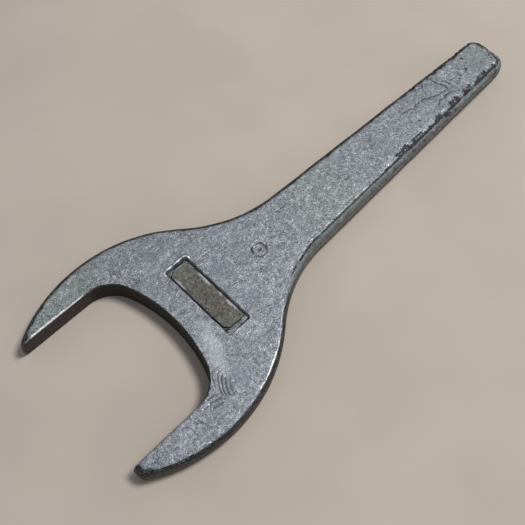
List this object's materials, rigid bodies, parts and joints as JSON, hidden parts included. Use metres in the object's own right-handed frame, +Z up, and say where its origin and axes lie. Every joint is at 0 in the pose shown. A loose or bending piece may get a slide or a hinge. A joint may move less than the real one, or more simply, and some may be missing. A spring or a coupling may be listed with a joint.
{
  "type": "open-end wrench",
  "caption": "Short forged open-end wrench with a fixed U-shaped jaw for a large hexagon nut, a tapered flat handle and a sunk panel in the head.",
  "frame": {"origin": "on the axis of the seated hexagon nut, level with the underside of the wrench", "axes": "+X along the handle away from the jaw, +Y across the jaws, +Z up through the thickness along the nut axis"},
  "size_m": [0.2434, 0.0872, 0.01],
  "materials": {
    "forged_steel": "drop-forged steel with a rough blasted grey surface, darker scale on the side walls and in the throat",
    "plate_finish": "dull grey-brown, matt, slightly uneven"
  },
  "bodies": {
    "root": {"wrench_body": "forged_steel", "marking_plate": "plate_finish"}
  },
  "joints": []
}
